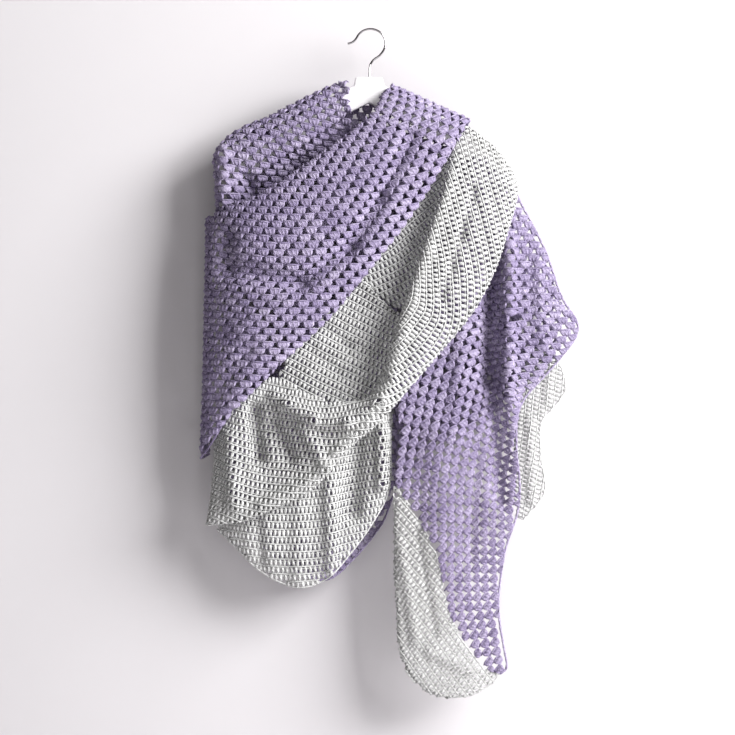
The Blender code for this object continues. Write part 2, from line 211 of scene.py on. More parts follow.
GREY_SWAG_FOLDS = [
    (136, -172, 116, -240, 15, 4),
    (116, -240, 86, -330, 15, 5),
    (86, -330, 50, -450, 14, 5),
    (50, -450, 34, -518, 14, 5),
    (156, -240, 134, -315, 12, -5),
    (134, -315, 106, -405, 12, -5),
    (34, -522, 16, -558, 14, 7),
    (16, -558, -28, -585, 18, 12),
    (-36, -586, -76, -585, 18, 14),
    (-86, -580, -118, -562, 18, 17),
    (-128, -556, -140, -549, 15, 10),
    (-98, -591, -64, -651, 14, 9),
    (4, -582, -51, -633, 12, 8),
    (-58, -657, -160, -710, 12, 6),
    (-170, -570, -164, -639, 20, -18),
    (-142, -591, -116, -639, 20, -13),
    (-207, -609, -200, -708, 18, 11),
]

# The rounded end that hangs below the swag
LOWER_LOBE = [
    (-218, -702, 3, -228, -748, 4, 0, 0, 0, 0),
    (-194, -705, 25, -200, -774, 13, 2, 0, 0, 0),
    (-158, -693, 36.2, -160, -812, 18, 3, 0, 0, 0),
    (-112, -669, 30, -108, -834, 18, 3, 0, 0, 0),
    (-70, -639, 30, -64, -822, 18, 3, 0, 0, 0),
    (-36, -606, 30, -27, -783, 18, 2, 0, 0, 0),
    (-4, -576, 28, 8, -734, 18, 2, 0, 0, 0),
    (21, -552, 22, 30, -687, 14, 0, 0, 0, 0),
    (34, -543, 6, 33, -615, 2, 0, 0, 0, 0),
]
LOWER_LOBE_FOLDS = [
    (-18, -612, -26, -720, 27, -18),
    (20, -600, 20, -681, 15, 15),
    (-58, -675, -54, -818, 16, 9),
    (-104, -705, -104, -825, 21, 5),
    (-166, -728, -160, -802, 15, -6),
]

# The long end on the right with its corner, down to the colour change
TAIL_LILAC = [
    (158, -183, 12, 210, -224, 10, 0, 0, 0, 0),
    (140, -255, 15, 228, -260, 0, 2, 0, 0, 0),
    (124, -330, 18, 264, -330, -2, 4, 0, 0, 0),
    (100, -393, 20, 288, -398, -4, 5, 0, 0, 0),
    (82, -442, 22, 314, -448, -6, 6, 0, 0, 0),
    (58, -495, 22, 282, -498, -2, 5, 0, 0, 0),
    (45, -552, 24, 228, -561, 8, 4, 0, 0, 0),
    (45, -615, 26, 220, -624, 12, 4, 0, 0, 0),
    (40, -676, 26, 225, -678, 12, 4, 0, 0, 0),
    (64, -717, 26, 222, -723, 12, 3, 0, 0, 0),
    (98, -777, 25, 204, -778, 13, 2, 0, 0, 0),
    (112, -840, 24, 194, -844, 14, 0, 0, 0, 0),
    (120, -873, 23, 195, -886, 15, 0, 0, 0, 0),
    (135, -902, 22, 200, -916, 16, 0, 0, 0, 0),
    (156, -933, 20, 204, -938, 17, 0, 0, 0, 0),
    (178, -957, 18, 206, -950, 17, 0, 0, 0, 0),
    (195, -964, 17, 204, -958, 17, 0, 0, 0, 0),
]
TAIL_LILAC_FOLDS = [
    (180, -348, 178, -525, 20, -27),
    (178, -525, 196, -705, 21, -13),
    (210, -324, 208, -549, 15, 20),
    (212, -549, 222, -660, 14, 9),
    (256, -352, 264, -480, 14, 4),
    (140, -450, 129, -615, 21, 6),
    (106, -600, 104, -795, 39, 8),
    (164, -615, 152, -795, 15, -5),
]

# The border of the long end, from its outer edge to the colour change
TAIL_GREY = [
    (36.3, -693, 25, 39.3, -677.4, 25.6, 0, 0, 0, 0),
    (37.5, -735, 24, 63.3, -717.9, 26, 2, 0, 3, 0),
    (37.5, -802.5, 24, 96.3, -777.8, 25, 3, 0, 5, 0),
    (42, -867, 24, 111.3, -840.4, 24, 3, 0, 6, 0),
    (45, -924, 23, 119, -873.4, 23, 3, 0, 6, 0),
    (64.5, -970.5, 22, 134, -902.1, 22, 3, 0, 5, 0),
    (103.5, -997.5, 21, 155, -933.8, 20, 2, 0, 4, 0),
    (148.5, -996, 19, 177.5, -958.1, 18, 1, 0, 0, 0),
    (183, -979.5, 17, 194.1, -966, 17, 0, 0, 0, 0),
]
TAIL_GREY_FOLDS = [
    (46, -765, 70, -915, 12, 5),
    (70, -750, 98, -903, 10, -4),
    (92, -930, 152, -957, 15, 5),
]

# The border that hangs behind the corner of the long end
CORNER_GREY = [
    (230, -474, -12, 274, -477, -8, 0, 0, 0, 0),
    (225, -510, -12, 291, -513, -5, 0, 0, 0, 0),
    (220, -542, -12, 294, -542, -7, 0, 0, 0, 0),
    (219, -567, -13, 274, -570, -8, 0, 0, 0, 0),
    (218, -594, -8, 258, -591, -4, 0, 0, 0, 0),
    (218, -639, -5, 258, -640, -1, 0, 0, 0, 0),
    (218, -681, -4, 264, -687, 1, 0, 0, 0, 0),
    (218, -708, -4, 252, -711, -1, 0, 0, 0, 0),
    (219, -728, -4, 231, -734, -3, 0, 0, 0, 0),
]
CORNER_GREY_FOLDS = [
    (274, -495, 268, -555, 10, 4),
    (242, -585, 244, -705, 10, 5),
]

# The layer that hangs behind the hanger
BACK_PANEL = [
    (-220, -183, -18, -218, -672, -13, 0, 0, 0, 0),
    (-170, -148, -20, -183, -750, -12, 0, 0, 0, 0),
    (-104, -116, -21, -122, -804, -12, 0, 0, 0, 0),
    (-40, -94, -21, -66, -826, -16, 0, 0, 0, 0),
    (0, -94, -21, -24, -795, -20, 0, 0, 0, 0),
    (39, -99, -17.2, 20, -741, -25, 0, 0, 0, 0),
    (70, -114, -22, 40, -694, -29, 0, 0, 0, 0),
    (118, -140, -23, 88, -627, -29, 0, 0, 0, 0),
    (164, -170, -26, 136, -600, -30, 0, 0, 0, 0),
    (198, -200, -30, 177, -578, -34, 0, 0, 0, 0),
    (225, -266, -32, 208, -549, -34, 0, 0, 0, 0),
    (258, -330, -31, 248, -501, -30, 0, 0, 0, 0),
    (291, -408, -28, 280, -471, -26, 0, 0, 0, 0),
]
BACK_PANEL_FOLDS = [
    (-160, -285, -160, -765, 33, -5),
    (-88, -255, -86, -810, 33, 5),
    (-26, -255, -28, -765, 27, -5),
]

# Fine ribs that the solids leave out
RIBS = {
    "grey_swag": [
        (172, -212, 196, -310, 10, -3),
        (152, -240, 180, -356, 10, -3.5),
        (134, -284, 160, -392, 10, -3.5),
        (117, -332, 142, -426, 10, -3),
        (104, -380, 124, -458, 10, -3),
        (88, -434, 106, -486, 9, -2.5),
    ],
    "tail_lilac": [
        (213, -308, 213, -555, 5, 2.5),
        (230, -315, 232, -510, 5, 2.5),
        (252, -348, 254, -472, 5, 2.5),
    ],
}

# Where the rows of stitches run in each stretch
COLLAR_ROWS = [
    (-178, -180, -3),
    (-104, -150, -11),
    (-208, -240, 3),
]

FRONT_WRAP_ROWS = [
    (92, -165, 26),
    (9, -225, 16),
    (-74, -300, 11),
    (-104, -420, 0),
    (-194, -405, -10),
    (-201, -510, -4),
]

GREY_INNER_ROWS = [
    (46, -315, 44),
    (16, -360, 20),
]

GREY_POCKET_ROWS = [
    (16, -420, -28),
    (-88, -510, -29),
    (2, -480, -18),
    (-28, -525, -24),
]

GREY_SWAG_ROWS = [
    (212, -225, -67),
    (152, -315, -75),
    (106, -405, -85),
    (69, -442, -128),
    (46, -510, -141),
    (-14, -570, -167),
    (-104, -600, -190),
    (-126, -675, -186),
    (-208, -675, -208),
]

LOWER_LOBE_ROWS = [
    (-178, -765, -10),
    (-104, -765, 0),
    (-44, -780, 20),
]

TAIL_LILAC_ROWS = [
    (242, -345, -6),
    (242, -480, 8),
    (152, -555, 34),
    (196, -615, 29),
    (76, -630, 38),
    (99, -720, 47),
    (144, -818, 45),
    (182, -885, 56),
]

TAIL_GREY_ROWS = [
    (69, -855, -50),
    (99, -915, -55),
    (129, -960, -53),
]

CORNER_GREY_ROWS = [
    (242, -675, -100),
    (264, -555, -95),
]

BACK_PANEL_ROWS = [
    (-14, -555, 180),
]

STRETCHES = {
    stretch.name: stretch
    for stretch in (
        Stretch(
            "collar", COLLAR, COLLAR_FOLDS, 16, "lilac", None, COLLAR_ROWS,
            (0.135, 0.26), "draped", 1, (),
        ),
        Stretch(
            "front_wrap", FRONT_WRAP, FRONT_WRAP_FOLDS, 30, "lilac", None, FRONT_WRAP_ROWS,
            (0.24, 0.57), "draped", 2, ("lower",),
        ),
        Stretch(
            "grey_inner", GREY_INNER, [], 10, "grey", None, GREY_INNER_ROWS,
            (0.072, 0.25), "hung", 3, (),
        ),
        Stretch(
            "grey_pocket", GREY_POCKET, GREY_POCKET_FOLDS, 12, "grey", None, GREY_POCKET_ROWS,
            (0.13, 0.205), "draped", 4, (),
        ),
        Stretch(
            "grey_swag", GREY_SWAG, GREY_SWAG_FOLDS, 36, "grey", None, GREY_SWAG_ROWS,
            (0.14, 0.84), "draped", 5, ("lower",),
        ),
        Stretch(
            "lower_lobe", LOWER_LOBE, LOWER_LOBE_FOLDS, 20, "grey", None, LOWER_LOBE_ROWS,
            (0.135, 0.37), "hung", 6, ("lower",),
        ),
        Stretch(
            "tail_lilac", TAIL_LILAC, TAIL_LILAC_FOLDS, 32, "lilac", None, TAIL_LILAC_ROWS,
            (0.152, 0.86), "hung", 7, ("lower", "end"),
        ),
        Stretch(
            "tail_grey", TAIL_GREY, TAIL_GREY_FOLDS, 16, "grey", Seam("tail_lilac", 16), TAIL_GREY_ROWS,
            (0.07, 0.4), "hung", 8, ("upper", "end"),
        ),
        Stretch(
            "corner_grey", CORNER_GREY, CORNER_GREY_FOLDS, 14, "grey", None, CORNER_GREY_ROWS,
            (0.054, 0.27), "hung", 9, ("lower", "end"),
        ),
        Stretch(
            "back_panel", BACK_PANEL, BACK_PANEL_FOLDS, 20, "lilac", None, BACK_PANEL_ROWS,
            (0.46, 0.60), "hung", 10, ("lower", "end"),
        ),
    )
}


def spline_weights(controls, places):
    """Catmull-Rom weights of each control point, one row for each place along them."""
    places = np.asarray(places, float)
    start = np.minimum(places.astype(int), controls - 2)
    t = places - start
    cubic = (
        -0.5 * t**3 + t**2 - 0.5 * t,
        1.5 * t**3 - 2.5 * t**2 + 1,
        -1.5 * t**3 + 2 * t**2 + 0.5 * t,
        0.5 * t**3 - 0.5 * t**2,
    )
    weights = np.zeros((len(places), controls))
    rows = np.arange(len(places))
    for step, weight in enumerate(cubic):
        index = start - 1 + step
        before, after = index < 0, index > controls - 1
        inside = ~(before | after)
        np.add.at(weights, (rows[inside], index[inside]), weight[inside])
        np.add.at(weights, (rows[before], 0), 2 * weight[before])
        np.add.at(weights, (rows[before], 1), -weight[before])
        np.add.at(weights, (rows[after], controls - 1), 2 * weight[after])
        np.add.at(weights, (rows[after], controls - 2), -weight[after])
    return weights


def section_points(section):
    """Points across the cloth as (x, z, out), with a tuck behind an edge that has one."""
    upper = np.array([section.upper_x, section.upper_z, section.upper_out], float)
    lower = np.array([section.lower_x, section.lower_z, section.lower_out], float)
    chord = (lower - upper)[:2] / np.linalg.norm((lower - upper)[:2])
    sideways = np.array([-chord[1], chord[0]])
    behind = np.array([*(chord * TUCK_SLOPE), -1.0])
    points = [upper + behind * section.upper_tuck]
    first = 0 if section.upper_tuck else EDGE_SHARE
    last = 1 if section.lower_tuck else 1 - EDGE_SHARE
    for part in (first, *SHARES, last):
        point = upper + (lower - upper) * part
        rise = 1 - (2 * part - 1) ** 2
        point[2] += section.belly * rise**BELLY_POWER
        point[:2] += sideways * section.bow * rise
        points.append(point)
    behind[:2] = -behind[:2]
    points.append(lower + behind * section.lower_tuck)
    return points


def raise_folds(points, folds):
    """Moves points towards the viewer along each fold's line, less with distance from it."""
    for fold in (Fold(*row) for row in folds):
        start = np.array([fold.start_x, fold.start_z], float)
        run = np.array([fold.end_x, fold.end_z], float) - start
        along = np.clip((points[..., :2] - start) @ run / (run @ run), 0, 1)
        gap = points[..., :2] - (start + along[..., None] * run)
        near = np.clip(np.linalg.norm(gap, axis=-1) / fold.reach, 0, 1)
        points[..., 2] += fold.height * np.cos(near * np.pi / 2) ** 2


def close_seam(points, edge, gap):
    """Brings the last column to the neighbour's edge, less the gap, and the others in part."""
    shift = edge - points[:, -1]
    width = points[:, -1] - points[:, 0]
    shift -= width / np.linalg.norm(width, axis=1)[:, None] * gap
    share = np.linspace(0, 1, points.shape[1]) ** 2
    points += shift[:, None] * share[:, None]


def surface_points(stretch, along, across, seam_gap):
    """The middle of the cloth as a grid of x, z, out in millimetres."""
    controls = np.array([section_points(Section(*row)) for row in stretch.sections])
    rows, columns = controls.shape[:2]
    down = spline_weights(rows, np.linspace(0, rows - 1, along + 1))
    over = spline_weights(columns, np.linspace(0, columns - 1, across + 1))
    points = np.einsum("ai,ijk,bj->abk", down, controls, over)
    raise_folds(points, stretch.folds + RIBS.get(stretch.name, []))
    if stretch.seam:
        other = STRETCHES[stretch.seam.neighbour]
        fine = along // stretch.cells_along
        edge = surface_points(other, other.cells_along * fine, across, seam_gap)[:, 0]
        close_seam(points, edge[stretch.seam.first_row * fine :][: along + 1], seam_gap)
    return points


def unit(vectors, least=TINY):
    """The vectors at length 1, but shorter where their own length is under the least."""
    return vectors / np.maximum(np.linalg.norm(vectors, axis=-1, keepdims=True), least)


def neighbours(shape, steps):
    """Pairs of slices that match each point of a grid with the one a step away."""
    for di, dj in steps:
        here = (slice(0, shape[0] - di), slice(max(0, -dj), shape[1] - max(0, dj)))
        there = (slice(di, shape[0]), slice(max(0, dj), shape[1] + min(0, dj)))
        yield here, there


def row_directions(points, normals, rows):
    """The way along a row of stitches at each point, from the lies given for the front view."""
    view = points[..., [0, 2]] / MM
    turn = np.zeros_like(view)
    for lie in (Lie(*row) for row in rows):
        away = ((view - np.array([lie.x, lie.z])) ** 2).sum(axis=-1) + LIE_CORE**2
        angle = np.radians(lie.rise)
        turn += np.array([np.cos(angle), np.sin(angle)]) / away[..., None] ** 1.5
    turn = unit(turn)
    out = normals[..., 1]
    depth = -(normals[..., 0] * turn[..., 0] + normals[..., 2] * turn[..., 1])
    depth /= np.where(np.abs(out) < LEAST_FACING, LEAST_FACING, out)
    way = unit(np.stack([turn[..., 0], depth, turn[..., 1]], axis=-1))
    down = np.gradient(points, axis=0)
    down = unit(down - normals * (down * normals).sum(axis=-1, keepdims=True), LEAST_RUN)
    over = np.cross(normals, down)
    measured = np.stack([(way * down).sum(axis=-1), (way * over).sum(axis=-1)], axis=-1)
    # where the cloth turns edge on, its rows go on as they do beside it
    trust = np.clip((np.abs(out) - EDGE_ON) / EDGE_FADE, 0, 1)
    trust = (trust * (np.sign(out) == np.sign(np.median(out))))[..., None]
    spread = measured * trust
    for _ in range(SPREAD_ROUNDS):
        padded = np.pad(spread, ((1, 1), (1, 1), (0, 0)), mode="edge")
        mean = (padded[2:, 1:-1] + padded[:-2, 1:-1] + padded[1:-1, 2:] + padded[1:-1, :-2]) / 4
        spread = trust * measured + (1 - trust) * mean
    return unit(spread[..., :1] * down + spread[..., 1:] * over, LEAST_RUN)


def fit_pattern(points, direction):
    """One coordinate of the flat pattern, which grows along the direction as evenly as it can."""
    shape = points.shape[:2]
    links = []
    for here, there in neighbours(shape, [(1, 0), (0, 1), (1, 1), (1, -1)]):
        step = points[there] - points[here]
        stiff = 1 / np.maximum(np.linalg.norm(step, axis=-1), SHORTEST_STEP)
        climb = (step * (direction[here] + direction[there]) / 2).sum(axis=-1)
        links.append((here, there, stiff, climb))

    def pull(values):
        total = np.zeros(shape)
        for here, there, stiff, _ in links:
            force = stiff * (values[there] - values[here])
            total[there] += force
            total[here] -= force
        return total

    want, size = np.zeros(shape), np.zeros(shape)
    for here, there, stiff, climb in links:
        want[there] += stiff * climb
        want[here] -= stiff * climb
        size[there] += stiff
        size[here] += stiff
    values = np.zeros(shape)
    rest = want
    scaled = rest / size
    way = scaled
    power = (rest * scaled).sum()
    for _ in range(FIT_ROUNDS):
        moved = pull(way)
        share = power / (way * moved).sum()
        values = values + share * way
        rest = rest - share * moved
        scaled = rest / size
        after = (rest * scaled).sum()
        if after < FIT_ERROR:
            break
        way = scaled + after / power * way
        power = after
    return values - values.mean()


class Cloth:
    """A stretch of cloth with its flat pattern: the first coordinate runs along the rows of
    stitches and the second up through them, both in metres."""

    def __init__(self, stretch, seam_gap):
        flat = surface_points(stretch, stretch.cells_along * FINE_ALONG, FINE_ACROSS, seam_gap)
        self.points = np.stack([flat[..., 0], -flat[..., 2], flat[..., 1]], axis=-1) * MM
        down, over = np.gradient(self.points, axis=(0, 1))
        normals = unit(np.cross(down, over))
        faces_wall = stretch.name == "back_panel"
        self.normals = normals if (normals[..., 1].sum() > 0) == faces_wall else -normals
        along = row_directions(self.points, self.normals, stretch.rows)
        ways = (along, np.cross(self.normals, along))
        self.pattern = np.stack([fit_pattern(self.points, way) for way in ways], axis=-1)
        self.size = np.array(self.pattern.shape[:2]) - 1
        self.index = KDTree(self.pattern[..., 0].size)
        for number, (along, up) in enumerate(self.pattern.reshape(-1, 2)):
            self.index.insert((along, up, 0), number)
        self.index.balance()

    def blend(self, grid, places):
        """Values of a grid at places between its points, and how they change down and over."""
        low = np.minimum(places.astype(int), self.size - 1)
        part = places - low
        i, j = low[..., 0], low[..., 1]
        a, b = part[..., :1], part[..., 1:]
        near = grid[i, j] * (1 - b) + grid[i, j + 1] * b
        far = grid[i + 1, j] * (1 - b) + grid[i + 1, j + 1] * b
        over = (grid[i, j + 1] - grid[i, j]) * (1 - a) + (grid[i + 1, j + 1] - grid[i + 1, j]) * a
        return near * (1 - a) + far * a, far - near, over

    def find(self, wanted, places):
        """Moves places on the grid until they lie where the pattern has the wanted coordinates."""
        for _ in range(FIND_ROUNDS):
            found, down, over = self.blend(self.pattern, places)
            miss = wanted - found
            area = down[..., 0] * over[..., 1] - down[..., 1] * over[..., 0]
            area = np.where(np.abs(area) < LEAST_AREA, LEAST_AREA, area)
            step = np.stack(
                [
                    (miss[..., 0] * over[..., 1] - miss[..., 1] * over[..., 0]) / area,
                    (down[..., 0] * miss[..., 1] - down[..., 1] * miss[..., 0]) / area,
                ],
                axis=-1,
            )
            places = np.clip(places + np.clip(step, -FIND_REACH, FIND_REACH), 0, self.size)
        found = self.blend(self.pattern, places)[0]
        return places, np.linalg.norm(wanted - found, axis=-1)

    def lattice(self, pitch, tall):
        """Where the stitches of all rows stand: their pattern coordinates, places and row numbers."""
        low, high = self.pattern.min(axis=(0, 1)), self.pattern.max(axis=(0, 1))
        wanted, numbers = [], []
        for number in range(int(np.floor(low[1] / tall)), int(np.ceil(high[1] / tall)) + 1):
            steps = np.arange(np.floor(low[0] / pitch), np.ceil(high[0] / pitch) + 1)
            for step in steps + (number % 2) * 0.5:
                wanted.append((step * pitch, number * tall))
                numbers.append(number)
        wanted, numbers = np.array(wanted), np.array(numbers)
        nearest = np.array([self.index.find((along, up, 0))[1] for along, up in wanted])
        places = np.stack(np.divmod(nearest, self.size[1] + 1), axis=-1).astype(float)
        places, miss = self.find(wanted, places)
        kept = miss < STITCH_REACH * tall
        return wanted[kept], places[kept], numbers[kept]

    def at(self, wanted, places):
        """Points and normals for coordinates of the pattern near places already found."""
        places = self.find(wanted, places)[0]
        normals = unit(self.blend(self.normals, places)[0], LEAST_RUN)
        return self.blend(self.points, places)[0], normals


# Each tube starts so many metres further along the twist than the one before, within this length
TWIST_SHIFT, TWIST_CYCLE = 0.0137, 0.05
# the turn at which a post of a cluster ends at a groove, and the turn that the end caps show
GROOVE_TURN = 0.5
CAP_TURN = 0.5


def yarn_length(paths):
    """How far along each path (n, m, 3) its points lie, each from a point of its own in the twist."""
    steps = np.linalg.norm(np.diff(paths, axis=1), axis=-1)
    length = np.concatenate([np.zeros((len(paths), 1)), np.cumsum(steps, axis=1)], axis=1)
    return length + (np.arange(len(paths)) * TWIST_SHIFT % TWIST_CYCLE)[:, None]


class Yarn:
    """Gathers closed tubes of yarn and makes one mesh of them."""

    def __init__(self):
        self.points, self.faces, self.sizes = [], [], []
        self.uv, self.tone = [], []
        self.count = 0

    def gather(self, points, length, begin, finish, cap_length, tone):
        """Adds closed tubes (n, m, k, 3). Their UV is the length along them, and the turn round them
        from begin to finish on each side face."""
        many, long, sides = points.shape[:3]
        start = self.count + np.arange(many)[:, None, None] * long * sides
        ring, corner = np.arange(long - 1)[None, :, None], np.arange(sides)[None, None, :]
        near, far, after = start + ring * sides, start + (ring + 1) * sides, (corner + 1) % sides
        quads = np.stack([near + corner, near + after, far + after, far + corner], axis=-1)
        caps = np.concatenate([np.arange(sides)[::-1], (long - 1) * sides + np.arange(sides)])
        low, high, begin, finish = (
            np.broadcast_to(values, quads.shape[:3])
            for values in (length[:, :-1, None], length[:, 1:, None], begin, finish)
        )
        side_uv = np.stack([low, begin, low, finish, high, finish, high, begin], axis=-1)
        ends = np.repeat(cap_length, sides, axis=1)
        cap_uv = np.stack([ends, np.full(ends.shape, CAP_TURN)], axis=-1)
        self.points.append(points.reshape(-1, 3))
        self.count += many * long * sides
        self.faces += [quads.reshape(-1), (start[:, :, 0] + caps[None]).reshape(-1)]
        self.sizes += [np.full(many * (long - 1) * sides, 4), np.full(many * 2, sides)]
        self.uv += [side_uv.reshape(-1), cap_uv.reshape(-1)]
        self.tone.append(np.repeat(tone, long * sides))

    def tubes(self, paths, normals, radii, sides, tone, depth=1.0):
        """paths (n, m, 3), normals alike, radii (n, m), a tone for each tube; depth flattens it."""
        run = unit(np.gradient(paths, axis=1), LEAST_RUN)
        side = unit(np.cross(run, normals), LEAST_RUN)
        front = np.cross(side, run) * depth
        turn = np.arange(sides) / sides
        ring = np.cos(turn * TURN)[:, None] * front[:, :, None]
        ring = ring + np.sin(turn * TURN)[:, None] * side[:, :, None]
        points = paths[:, :, None] + ring * radii[:, :, None, None]
        length = yarn_length(paths)
        self.gather(points, length, turn, turn + 1 / sides, length[:, [0, -1]], tone)

    def bodies(self, rings, turn, tone):
        """Closed lofts through rings (n, m, k, 3), each with its own tone."""
        begin = np.where(turn == GROOVE_TURN, 0.0, turn)
        length = yarn_length(rings.mean(axis=2))
        self.gather(rings, length, begin, np.roll(turn, -1), np.zeros((len(rings), 2)), tone)

    def mesh(self, name):
        points = np.concatenate(self.points)
        faces = np.concatenate(self.faces).astype(np.int32)
        sizes = np.concatenate(self.sizes).astype(np.int32)
        starts = np.concatenate([[0], np.cumsum(sizes)[:-1]]).astype(np.int32)
        mesh = bpy.data.meshes.new(name)
        mesh.vertices.add(len(points))
        mesh.vertices.foreach_set("co", points.astype(np.float32).ravel())
        mesh.loops.add(len(faces))
        mesh.loops.foreach_set("vertex_index", faces)
        mesh.polygons.add(len(sizes))
        mesh.polygons.foreach_set("loop_start", starts)
        mesh.polygons.foreach_set("loop_total", sizes)
        layer = mesh.uv_layers.new(name="yarn")
        layer.data.foreach_set("uv", np.concatenate(self.uv).astype(np.float32))
        tone = mesh.attributes.new("tone", "FLOAT", "POINT")
        tone.data.foreach_set("value", np.concatenate(self.tone).astype(np.float32))
        mesh.update(calc_edges=True)
        mesh.validate()
        mesh.shade_smooth()
        return mesh


def jitter(rng, shape, size):
    return rng.uniform(-size, size, shape)


# The outline of a cluster of three posts seen from its end, from left to right over the front and
# back behind: how far out each point lies as shares of the posts' spread and of their thickness.
# columns: spread, thickness across, thickness in front
CLUSTER_OUTLINE = np.array([
    (-1.0, -1.00, 0.00),
    (-1.0, -0.50, 0.80),
    (-1.0, 0.35, 0.84),
    (-0.5, 0.00, 0.45),
    (0.0, -0.45, 0.96),
    (0.0, 0.45, 0.96),
    (0.5, 0.00, 0.45),
    (1.0, -0.35, 0.84),
    (1.0, 0.50, 0.80),
    (1.0, 1.00, 0.00),
    (1.0, 0.30, -0.72),
    (0.5, 0.00, -0.55),
    (0.0, 0.00, -0.80),
    (-0.5, 0.00, -0.55),
    (-1.0, -0.30, -0.72),
])
# each post's own turn, where the plies start again after GROOVE_TURN
CLUSTER_TURN = np.array([0, 0.15, 0.33, 0.5, 0.15, 0.33, 0.5, 0.15, 0.33, 0.5, 0.6, 0.7, 0.8, 0.9, 1.0])

# A cluster from its foot to the chain: height in rows, spread in pitches, thickness and how far the
# middle stands out in yarn thicknesses
Level = namedtuple("Level", "height spread thickness proud")
CLUSTER_LEVELS = (
    Level(-0.58, 0.125, 0.75, -0.50),
    Level(-0.28, 0.205, 0.98, 0.25),
    Level(0.05, 0.280, 1.05, 0.50),
    Level(0.45, 0.305, 0.80, 0.05),
)
# the cloth behind shows only through the holes, and so has a plainer cluster
BACK_LEVELS = (CLUSTER_LEVELS[0], Level(-0.05, 0.265, 1.05, 0.45), CLUSTER_LEVELS[3])
# The chain over each cluster, a fat link that arches and dips behind at both ends.
# columns: place in pitches, height in rows, how far out and how thick in thicknesses of the chain
CHAIN = np.array([
    (-0.52, 0.43, -0.5, 0.75),
    (-0.27, 0.50, 0.8, 1.05),
    (0.00, 0.53, 1.2, 1.15),
    (0.27, 0.50, 0.8, 1.05),
    (0.52, 0.43, -0.5, 0.75),
])
CHAIN_THICK = 0.3

# A single post from its foot to the chain.
# columns: height in rows, how far out and how thick in thicknesses of the yarn
POST = np.array([
    (-0.55, -0.35, 1.05),
    (-0.05, 0.30, 1.25),
    (0.50, 0.00, 1.05),
])
POST_DEPTH = 0.5
# The two loops of the chain over the posts: height in rows, share of the yarn's thickness, sides
LOOPS = ((0.5, 0.62, 5), (0.2, 0.42, 4))
# the chain along a free edge, as a share of the yarn's thickness
EDGE_THICK = {"lilac": 0.42, "grey": 0.34}
TUBE_SIDES = 5

# How uneven the hand's work is: shares of the pitch for places and of the yarn for thicknesses
CLUSTER_SHIFT, CLUSTER_SWELL, RING_SHIFT = 0.035, 0.05, 0.012
POST_LEAN, POST_SHIFT, POST_SWELL = 0.07, 0.05, 0.1
CHAIN_SHIFT, CHAIN_SWELL = 0.2, 0.06


def around(wanted, places, offsets):
    """Coordinates at offsets (k, 2) or (n, k, 2) from each of n stitches, with places to start from."""
    moved = wanted[:, None] + offsets
    return moved, np.broadcast_to(places[:, None], moved.shape).copy()


def work_clusters(yarn, cloth, settings, levels, rng):
    """Rows of three posts that share a foot and fan out under a chain, offset like bricks."""
    pitch, tall = settings.cluster_pitch, settings.cluster_height
    thick = settings.lilac_yarn / 2
    spread, across, front = CLUSTER_OUTLINE.T
    wanted, places, _ = cloth.lattice(pitch, tall)
    many = len(wanted)
    wanted = wanted + jitter(rng, wanted.shape, CLUSTER_SHIFT * pitch)
    size = 1 + jitter(rng, (many, 1), CLUSTER_SWELL)
    rings = []
    for level in levels:
        fan = size * (spread * level.spread * pitch + across * level.thickness * thick)
        offsets = np.stack([fan, np.full(fan.shape, level.height * tall)], axis=-1)
        point, normal = cloth.at(*around(wanted, places, offsets))
        lift = front * level.thickness * thick + level.proud * settings.lilac_yarn
        lift = lift[None] * size + jitter(rng, fan.shape, RING_SHIFT * pitch)
        rings.append(point + normal * lift[..., None])
    yarn.bodies(np.stack(rings, axis=1), CLUSTER_TURN, rng.uniform(0, 1, many))
    thick = settings.lilac_yarn * CHAIN_THICK
    steps, heights, proud, swell = CHAIN.T
    offsets = np.stack([steps * pitch, heights * tall], axis=-1)
    point, normal = cloth.at(*around(wanted, places, offsets))
    lift = (thick * proud)[None] + jitter(rng, (many, 1), CHAIN_SHIFT * thick)
    radii = thick * swell[None] * (1 + jitter(rng, (many, 1), CHAIN_SWELL))
    paths = point + normal * lift[..., None]
    yarn.tubes(paths, normal, radii, TUBE_SIDES, rng.uniform(0, 1, many))


def work_posts(yarn, cloth, settings, rng):
    """Rows of single posts, with the two loops of the chain over them."""
    pitch, tall = settings.post_pitch, settings.post_height
    thick = settings.grey_yarn / 2
    wanted, places, numbers = cloth.lattice(pitch, tall)
    many = len(wanted)
    heights, proud, swell = POST.T
    lean = jitter(rng, (many, len(POST)), POST_LEAN * pitch)
    offsets = np.stack([lean, np.broadcast_to(heights * tall, lean.shape)], axis=-1)
    point, normal = cloth.at(*around(wanted, places, offsets))
    lift = proud * settings.grey_yarn + jitter(rng, lean.shape, POST_SHIFT * pitch)
    size = thick * (1 + jitter(rng, (many, 1), POST_SWELL)) * swell[None]
    paths = point + normal * lift[..., None]
    yarn.tubes(paths, normal, size, TUBE_SIDES, rng.uniform(0, 1, many), POST_DEPTH)
    # the two loops of the chain, in lengths that stay on the cloth
    broken = (np.diff(numbers) != 0) | (np.diff(wanted[:, 0]) > 1.5 * pitch)
    for part in np.split(np.arange(many), np.flatnonzero(broken) + 1):
        if len(part) < 2:
            continue
        for height, share, sides in LOOPS:
            half = np.array([[0.0, height * tall], [0.5 * pitch, height * tall]])
            point, normal = cloth.at(*around(wanted[part], places[part], half))
            point, normal = point.reshape(-1, 3), normal.reshape(-1, 3)
            even = np.arange(len(point)) % 2 == 1
            wave = np.where(even, 0.2, 1.0) * thick * share
            wave = wave + jitter(rng, len(point), CHAIN_SHIFT * thick * share)
            path = point + normal * wave[:, None]
            radii = thick * share * np.where(even, 0.85, 1.12)
            yarn.tubes(path[None], normal[None], radii[None], sides, rng.uniform(0, 1, 1))


